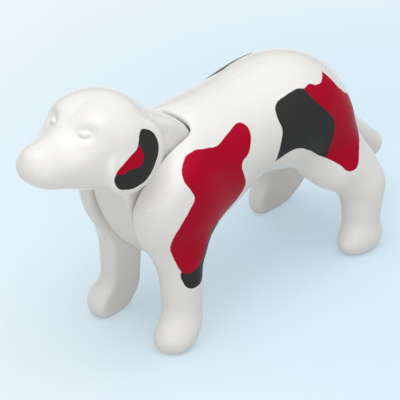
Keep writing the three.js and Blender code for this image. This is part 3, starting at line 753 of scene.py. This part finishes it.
def smooth_outline(outline):
    """Points along a closed smooth curve through the outline's points."""
    knots = np.array(outline)
    after = np.roll(knots, -1, 0)
    leave = (after - np.roll(knots, 1, 0)) / 2
    arrive = np.roll(leave, -1, 0)
    t = np.linspace(0, 1, CURVE_STEPS, endpoint=False)[None, :, None]
    curve = (
        (2 * t**3 - 3 * t**2 + 1) * knots[:, None] + (t**3 - 2 * t**2 + t) * leave[:, None]
        + (3 * t**2 - 2 * t**3) * after[:, None] + (t**3 - t**2) * arrive[:, None]
    )
    return curve.reshape(-1, 2)


def outline_distance(places, outline):
    """Signed distance in the side view, negative inside and never more than the reach."""
    start = smooth_outline(outline)
    edge = np.roll(start, -1, 0) - start
    distance = np.full(len(places), PRINT_REACH)
    near = np.all((places > start.min(0) - PRINT_REACH) & (places < start.max(0) + PRINT_REACH), axis=1)
    offset = places[near][:, None] - start
    share = np.clip((offset * edge).sum(-1) / ((edge**2).sum(-1) + TINY), 0, 1)
    gap = np.linalg.norm(offset - share[..., None] * edge, axis=-1).min(1)
    crossed = (offset[..., 1] < 0) != (offset[..., 1] < edge[:, 1])
    ahead = offset[..., 0] < edge[:, 0] * offset[..., 1] / np.where(crossed, edge[:, 1], 1)
    inside = (crossed & ahead).sum(1) % 2 == 1
    distance[near] = np.clip(np.where(inside, -gap, gap), -PRINT_REACH, PRINT_REACH)
    return distance


print("outlines are walked in", CURVE_STEPS, "steps from point to point")

# %% [markdown]
# ## Printing the patches
# Each vertex stores its distance to the nearest red and the nearest black outline. Faces that look inwards
# or straight up, such as the slot's walls and the far side of a leg, stay bare: the print reaches only
# where the surface looks out to its own side.

# %% Print
PRINT_LIMIT = 0.06
PRINT_FADE = 5
OFF_SIDE = 9


def print_coat(piece, form, name, left, right):
    """Store the distance to the nearest outline of one colour on every vertex."""
    points = rows(piece.data.vertices, "co") / MM
    _, slope = slope_of(form, points)
    facing = slope[:, 0] / np.linalg.norm(slope, axis=1)
    distance = np.full(len(points), PRINT_REACH)
    for outlines, side in ((left, 1), (right, -1)):
        beyond = np.where(points[:, 0] * side > 0, -OFF_SIDE, OFF_SIDE)
        bare = np.maximum((PRINT_LIMIT - facing * side) * PRINT_FADE, beyond)
        for outline in outlines:
            distance = np.minimum(distance, np.maximum(outline_distance(points[:, 1:], outline), bare))
    piece.data.attributes.new(name, "FLOAT", "POINT").data.foreach_set("value", distance)


for piece, form, left, right in (
    (left_half, shell_form, LEFT_PATCHES, NO_PATCHES),
    (right_half, shell_form, NO_PATCHES, RIGHT_PATCHES),
    (head, head_form, EAR_PATCHES, EAR_PATCHES),
):
    for colour in PRINTS:
        print_coat(piece, form, colour, left[colour], right[colour])
print("coat printed on", left_half.name, right_half.name, head.name)

# %% [markdown]
# ## Helpers for nodes
# Materials are built here from nodes, as in Blender's shader editor. A socket is either set to a value or
# linked to another socket, and a few small functions do both, so that a material can be read like a
# recipe.

# %% Node helpers
NOISE_LOW, NOISE_HIGH = 0.3, 0.7
# The Mix node has sockets for each kind of data. These are the ones for colours.
MIX_FACTOR, MIX_FIRST, MIX_SECOND, MIX_RESULT = 0, 6, 7, 2


def feed(tree, socket, value):
    """Set a socket to a value, or link another socket to it."""
    if isinstance(value, bpy.types.NodeSocket):
        tree.links.new(value, socket)
    else:
        socket.default_value = value


def calculate(tree, operation, *values):
    """A math node fed with numbers or sockets."""
    node = tree.nodes.new("ShaderNodeMath")
    node.operation = operation
    for socket, value in zip(node.inputs, values):
        feed(tree, socket, value)
    return node.outputs[0]


def mapped(tree, value, source, target, ease="LINEAR"):
    """Map a value from one range to another; the ends may be numbers or sockets."""
    node = tree.nodes.new("ShaderNodeMapRange")
    node.interpolation_type = ease
    feed(tree, node.inputs["Value"], value)
    for name, end in zip(("From Min", "From Max", "To Min", "To Max"), (*source, *target)):
        feed(tree, node.inputs[name], end)
    return node.outputs["Result"]


def colour_mix(tree, factor, first, second):
    """Mix two colours, given as sockets or as values."""
    node = tree.nodes.new("ShaderNodeMix")
    node.data_type = "RGBA"
    for socket, value in ((MIX_FACTOR, factor), (MIX_FIRST, first), (MIX_SECOND, second)):
        feed(tree, node.inputs[socket], value)
    return node.outputs[MIX_RESULT]


def noise(tree, scale, detail):
    """Noise in the frame's own metres, so that it sticks to the piece."""
    place = tree.nodes.new("ShaderNodeTexCoord")
    node = tree.nodes.new("ShaderNodeTexNoise")
    node.inputs["Scale"].default_value = scale
    node.inputs["Detail"].default_value = detail
    tree.links.new(place.outputs["Object"], node.inputs["Vector"])
    return node.outputs["Fac"]


def spread(tree, value, low, high):
    """Stretch the usual reach of a noise over a range."""
    return mapped(tree, value, (NOISE_LOW, NOISE_HIGH), (low, high))


print("node helpers ready")

# %% [markdown]
# ## Moulded plastic
# Glossy toy plastic is never a perfect mirror: the mould leaves a faint orange peel, and the gloss
# changes a little from place to place. A node group holds that, so the printed outside and the bare inner
# faces share it with their own values.

# %% Grain of moulded plastic
FLOW_NOISE, GLOSS_NOISE, PEEL_NOISE = (90, 2), (260, 3), (2200, 1)


def new_group(name, inputs, outputs):
    """A shader node group with its sockets and end nodes."""
    group = bpy.data.node_groups.new(name, "ShaderNodeTree")
    for socket, kind in inputs:
        group.interface.new_socket(socket, in_out="INPUT", socket_type="NodeSocket" + kind)
    for socket, kind in outputs:
        group.interface.new_socket(socket, in_out="OUTPUT", socket_type="NodeSocket" + kind)
    return group, group.nodes.new("NodeGroupInput"), group.nodes.new("NodeGroupOutput")


grain, grain_in, grain_out = new_group(
    "moulded_grain",
    (("Pale", "Color"), ("Deep", "Color"), ("Smooth", "Float"), ("Dull", "Float")),
    (("Color", "Color"), ("Roughness", "Float"), ("Height", "Float")),
)
flow = spread(grain, noise(grain, *FLOW_NOISE), 0, 1)
tint = colour_mix(grain, flow, grain_in.outputs["Pale"], grain_in.outputs["Deep"])
sheen = spread(grain, noise(grain, *GLOSS_NOISE), grain_in.outputs["Smooth"], grain_in.outputs["Dull"])
grain.links.new(tint, grain_out.inputs["Color"])
grain.links.new(sheen, grain_out.inputs["Roughness"])
grain.links.new(noise(grain, *PEEL_NOISE), grain_out.inputs["Height"])
print("group:", grain.name, "with", len(grain.nodes), "nodes")

# %% [markdown]
# ## Ink
# A layer of ink covers what is under it wherever the stored distance is below zero. A little noise added
# to the distance gives the edge of a pad print, and the group also puts out the mask, because ink is
# duller than the plastic and stands a hair proud of it. The coat uses it twice: black first, red over it.

# %% Ink layer
INK_EDGE = 0.035
EDGE_NOISE, PIGMENT_NOISE = (900, 2), (150, 3)

ink, ink_in, ink_out = new_group(
    "ink_layer",
    (("Under", "Color"), ("Pale", "Color"), ("Deep", "Color"), ("Distance", "Float")),
    (("Color", "Color"), ("Mask", "Float")),
)
wobble = spread(ink, noise(ink, *EDGE_NOISE), -INK_EDGE, INK_EDGE)
edge = calculate(ink, "ADD", ink_in.outputs["Distance"], wobble)
ink_mask = mapped(ink, edge, (INK_EDGE, -INK_EDGE), (0, 1), "SMOOTHSTEP")
depth = spread(ink, noise(ink, *PIGMENT_NOISE), 0, 1)
pigment = colour_mix(ink, depth, ink_in.outputs["Pale"], ink_in.outputs["Deep"])
ink.links.new(colour_mix(ink, ink_mask, ink_in.outputs["Under"], pigment), ink_out.inputs["Color"])
ink.links.new(ink_mask, ink_out.inputs["Mask"])
print("group:", ink.name, "with", len(ink.nodes), "nodes")

# %% [markdown]
# ## Helpers for materials
# Each material starts from Blender's Principled BSDF. Small functions make a material, place a node group
# in it with its own values, read a value that was stored on the vertices, and turn a height into bumps.

# %% Material helpers
def new_material(name):
    """A material with its node tree and its Principled BSDF."""
    material = bpy.data.materials.new(name)
    material.use_nodes = True
    return material, material.node_tree, material.node_tree.nodes["Principled BSDF"]


def placed(tree, group, values):
    """A group placed in a material with its own values."""
    node = tree.nodes.new("ShaderNodeGroup")
    node.node_tree = group
    for name, value in values.items():
        feed(tree, node.inputs[name], value)
    return node.outputs


def stored(tree, name):
    """A value that was stored on the vertices."""
    node = tree.nodes.new("ShaderNodeAttribute")
    node.attribute_name = name
    return node.outputs["Fac"]


def raised(tree, shader, height, distance):
    """Turn a height into bumps on a shader, with a distance in millimetres."""
    bump = tree.nodes.new("ShaderNodeBump")
    bump.inputs["Distance"].default_value = distance * MM
    tree.links.new(height, bump.inputs["Height"])
    tree.links.new(bump.outputs["Normal"], shader.inputs["Normal"])


print("material helpers ready")

# %% [markdown]
# ## Printed plastic
# The outside of all three pieces is white plastic with black and red ink on it. Its shine is a clear coat
# that the ink takes away, so the patches keep their depth of colour. Where there is ink, the surface is
# also a little rougher and higher.

# %% Printed plastic
WHITE_PALE, WHITE_DEEP = (0.88, 0.872, 0.85, 1), (0.86, 0.852, 0.83, 1)
RED_PALE, RED_DEEP = (0.46, 0.004, 0.028, 1), (0.42, 0.004, 0.025, 1)
BLACK_PALE, BLACK_DEEP = (0.042, 0.044, 0.041, 1), (0.034, 0.036, 0.035, 1)
PRINTED_SMOOTH, PRINTED_DULL, PRINTED_PEEL = 0.16, 0.24, 0.003
BARE_GLOSS, GLOSS_ROUGHNESS, INK_SHEEN = 0.5, 0.2, 0.04
INK_ROUGHER, INK_HIGHER = 0.12, 4

printed, tree, shader = new_material("printed_plastic")
plastic = placed(tree, grain, {
    "Pale": WHITE_PALE, "Deep": WHITE_DEEP, "Smooth": PRINTED_SMOOTH, "Dull": PRINTED_DULL,
})
black = placed(tree, ink, {
    "Under": plastic["Color"], "Pale": BLACK_PALE, "Deep": BLACK_DEEP,
    "Distance": stored(tree, "black_print"),
})
red = placed(tree, ink, {
    "Under": black["Color"], "Pale": RED_PALE, "Deep": RED_DEEP,
    "Distance": stored(tree, "red_print"),
})
covered = calculate(tree, "MAXIMUM", black["Mask"], red["Mask"])
dulled = calculate(tree, "MULTIPLY_ADD", covered, INK_ROUGHER, plastic["Roughness"])
gloss = calculate(tree, "MULTIPLY_ADD", covered, -BARE_GLOSS, BARE_GLOSS)
layers = calculate(tree, "MULTIPLY_ADD", covered, INK_HIGHER, plastic["Height"])
tree.links.new(red["Color"], shader.inputs["Base Color"])
tree.links.new(dulled, shader.inputs["Roughness"])
tree.links.new(gloss, shader.inputs["Coat Weight"])
shader.inputs["Coat Roughness"].default_value = GLOSS_ROUGHNESS
shader.inputs["Specular IOR Level"].default_value = INK_SHEEN
raised(tree, shader, layers, PRINTED_PEEL)
print("material:", printed.name)

# %% [markdown]
# ## Bare plastic
# The faces that rub or meet, which are the slot, the tongue and the parting faces, leave the mould a
# little duller and are never printed. The same grain serves them with rougher values.

# %% Bare plastic
BARE_SMOOTH, BARE_DULL, BARE_PEEL = 0.42, 0.52, 0.006

bare, tree, shader = new_material("bare_plastic")
plastic = placed(tree, grain, {
    "Pale": WHITE_PALE, "Deep": WHITE_DEEP, "Smooth": BARE_SMOOTH, "Dull": BARE_DULL,
})
tree.links.new(plastic["Color"], shader.inputs["Base Color"])
tree.links.new(plastic["Roughness"], shader.inputs["Roughness"])
raised(tree, shader, plastic["Height"], BARE_PEEL)
print("material:", bare.name)

# %% [markdown]
# ## Which face gets which plastic
# The fields say where the slot and the tongue are, so each face is tested by its middle instead of being
# picked by hand. Then each piece is tied to its body, and the solid of the frame whose place it takes is
# hidden.

# %% Faces, bodies and slots
RUB_DEPTH = 0.05


def half_rubs(points):
    """Distance to the faces of a half that the head rubs on."""
    return np.abs(np.minimum(slot_form(points), bore_form(points)))


def head_rubs(points):
    """Distance to the faces of the tongue."""
    return np.abs(tongue_form(points))


def bare_where(piece, rubbing):
    """Give the bare plastic to the rubbing faces and to flat parting faces."""
    mesh = piece.data
    rubs = rubbing(rows(mesh.polygons, "center") / MM) < RUB_DEPTH
    index = (rubs | on_parting(mesh)).astype(int)
    mesh.materials.append(printed)
    mesh.materials.append(bare)
    mesh.polygons.foreach_set("material_index", index)
    return index.sum()


for piece, rubbing, body, node in (
    (left_half, half_rubs, "trunk", "body_left_half"),
    (right_half, half_rubs, "trunk", "body_right_half"),
    (head, head_rubs, "head", "head"),
):
    print(piece.name, "has", bare_where(piece, rubbing), "bare faces")
    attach(piece, body)
    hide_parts(node)

# %% [markdown]
# ## Floor
# A toy is best judged on a plain pale sheet. The sheet looks pale blue to the camera and in reflections
# but bounces neutral light: a Light Path node picks one of the two, because a blue bounce would tint the
# white plastic. Part of the sheet's own colour is a glow, which leaves the shadow there but keeps it
# light.

# %% Floor
FLOOR_HALF = 2
FLOOR_BOUNCE = (0.64, 0.635, 0.62, 1)
FLOOR_BLUE, FLOOR_PALE = (0.70, 0.86, 0.96, 1), (0.92, 0.97, 1.0, 1)
FLOOR_DARK = (0, 0, 0, 1)
BLUE_PLACE, BLUE_REACH = (0.01, 0.04, 0), (0.02, 0.13)
FLOOR_GLOW = 0.45
PAPER_ROUGHNESS, PAPER_SHEEN = 0.9, 0.1

corners = np.array([(-1, -1, 0), (1, -1, 0), (1, 1, 0), (-1, 1, 0)]) * FLOOR_HALF / MM
floor = mesh_object("floor", corners, np.array([(0, 1, 2, 3)]))
floor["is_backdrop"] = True
paper, tree, shader = new_material("floor_paper")
shader.inputs["Roughness"].default_value = PAPER_ROUGHNESS
shader.inputs["Specular IOR Level"].default_value = PAPER_SHEEN
spot = tree.nodes.new("ShaderNodeTexCoord")
away = tree.nodes.new("ShaderNodeVectorMath")
away.operation = "DISTANCE"
away.inputs[1].default_value = BLUE_PLACE
tree.links.new(spot.outputs["Object"], away.inputs[0])
fade = mapped(tree, away.outputs["Value"], BLUE_REACH, (0, 1), "SMOOTHSTEP")
look = colour_mix(tree, fade, FLOOR_BLUE, FLOOR_PALE)
path = tree.nodes.new("ShaderNodeLightPath")
seen = path.outputs["Is Camera Ray"]
for ray in ("Is Glossy Ray", "Is Transmission Ray"):
    seen = calculate(tree, "MAXIMUM", seen, path.outputs[ray])
lit = colour_mix(tree, FLOOR_GLOW, look, FLOOR_DARK)
tree.links.new(colour_mix(tree, seen, FLOOR_BOUNCE, lit), shader.inputs["Base Color"])
tree.links.new(look, shader.inputs["Emission Color"])
tree.links.new(calculate(tree, "MULTIPLY", seen, FLOOR_GLOW), shader.inputs["Emission Strength"])
floor.data.materials.append(paper)
print("floor sheet", 2 * FLOOR_HALF, "m wide")

# %% [markdown]
# ## Light
# One wide lamp almost overhead whitens every face that looks up, and the sheet throws part of that light
# back, so that upright walls come out pale grey and undersides stay readable. A weak fill reaches the
# inner faces of the legs, and a tiny lamp gives the small hard glints that show gloss. The sky is darker
# near the ground, because an even one would flatten the form.

# %% Sky and lamps
SKY_LOW, SKY_HIGH, SKY_TOP = 0.12, 0.62, 0.8
LAMP_AIM = (0, 0, 0.02)
LAMPS = (
    ("key", (0.06, -0.09, 0.53), 0.5, 1.75),
    ("fill", (0.46, -0.36, 0.08), 0.3, 0.55),
    ("spark", (0.12, -0.43, 0.06), 0.04, 0.12),
)

scene.world = bpy.data.worlds.new("studio")
scene.world.use_nodes = True
tree = scene.world.node_tree
way = tree.nodes.new("ShaderNodeTexCoord")
split = tree.nodes.new("ShaderNodeSeparateXYZ")
tree.links.new(way.outputs["Generated"], split.inputs[0])
sky = mapped(tree, split.outputs["Z"], (0, SKY_TOP), (SKY_LOW, SKY_HIGH))
tree.links.new(sky, tree.nodes["Background"].inputs["Color"])

for name, place, size, energy in LAMPS:
    lamp = bpy.data.objects.new(name, bpy.data.lights.new(name, "AREA"))
    lamp.data.energy = energy
    lamp.data.size = size
    lamp.location = place
    lamp.rotation_euler = (Vector(place) - Vector(LAMP_AIM)).to_track_quat("Z", "Y").to_euler()
    scene.collection.objects.link(lamp)
    print(name, "lamp:", energy, "W,", size, "m wide")

boxes = {"cad": cad_box, "visual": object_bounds()}
for name, (low, high) in boxes.items():
    print(name, "box in mm:", [round((b - a) / MM, 1) for a, b in zip(low, high)])
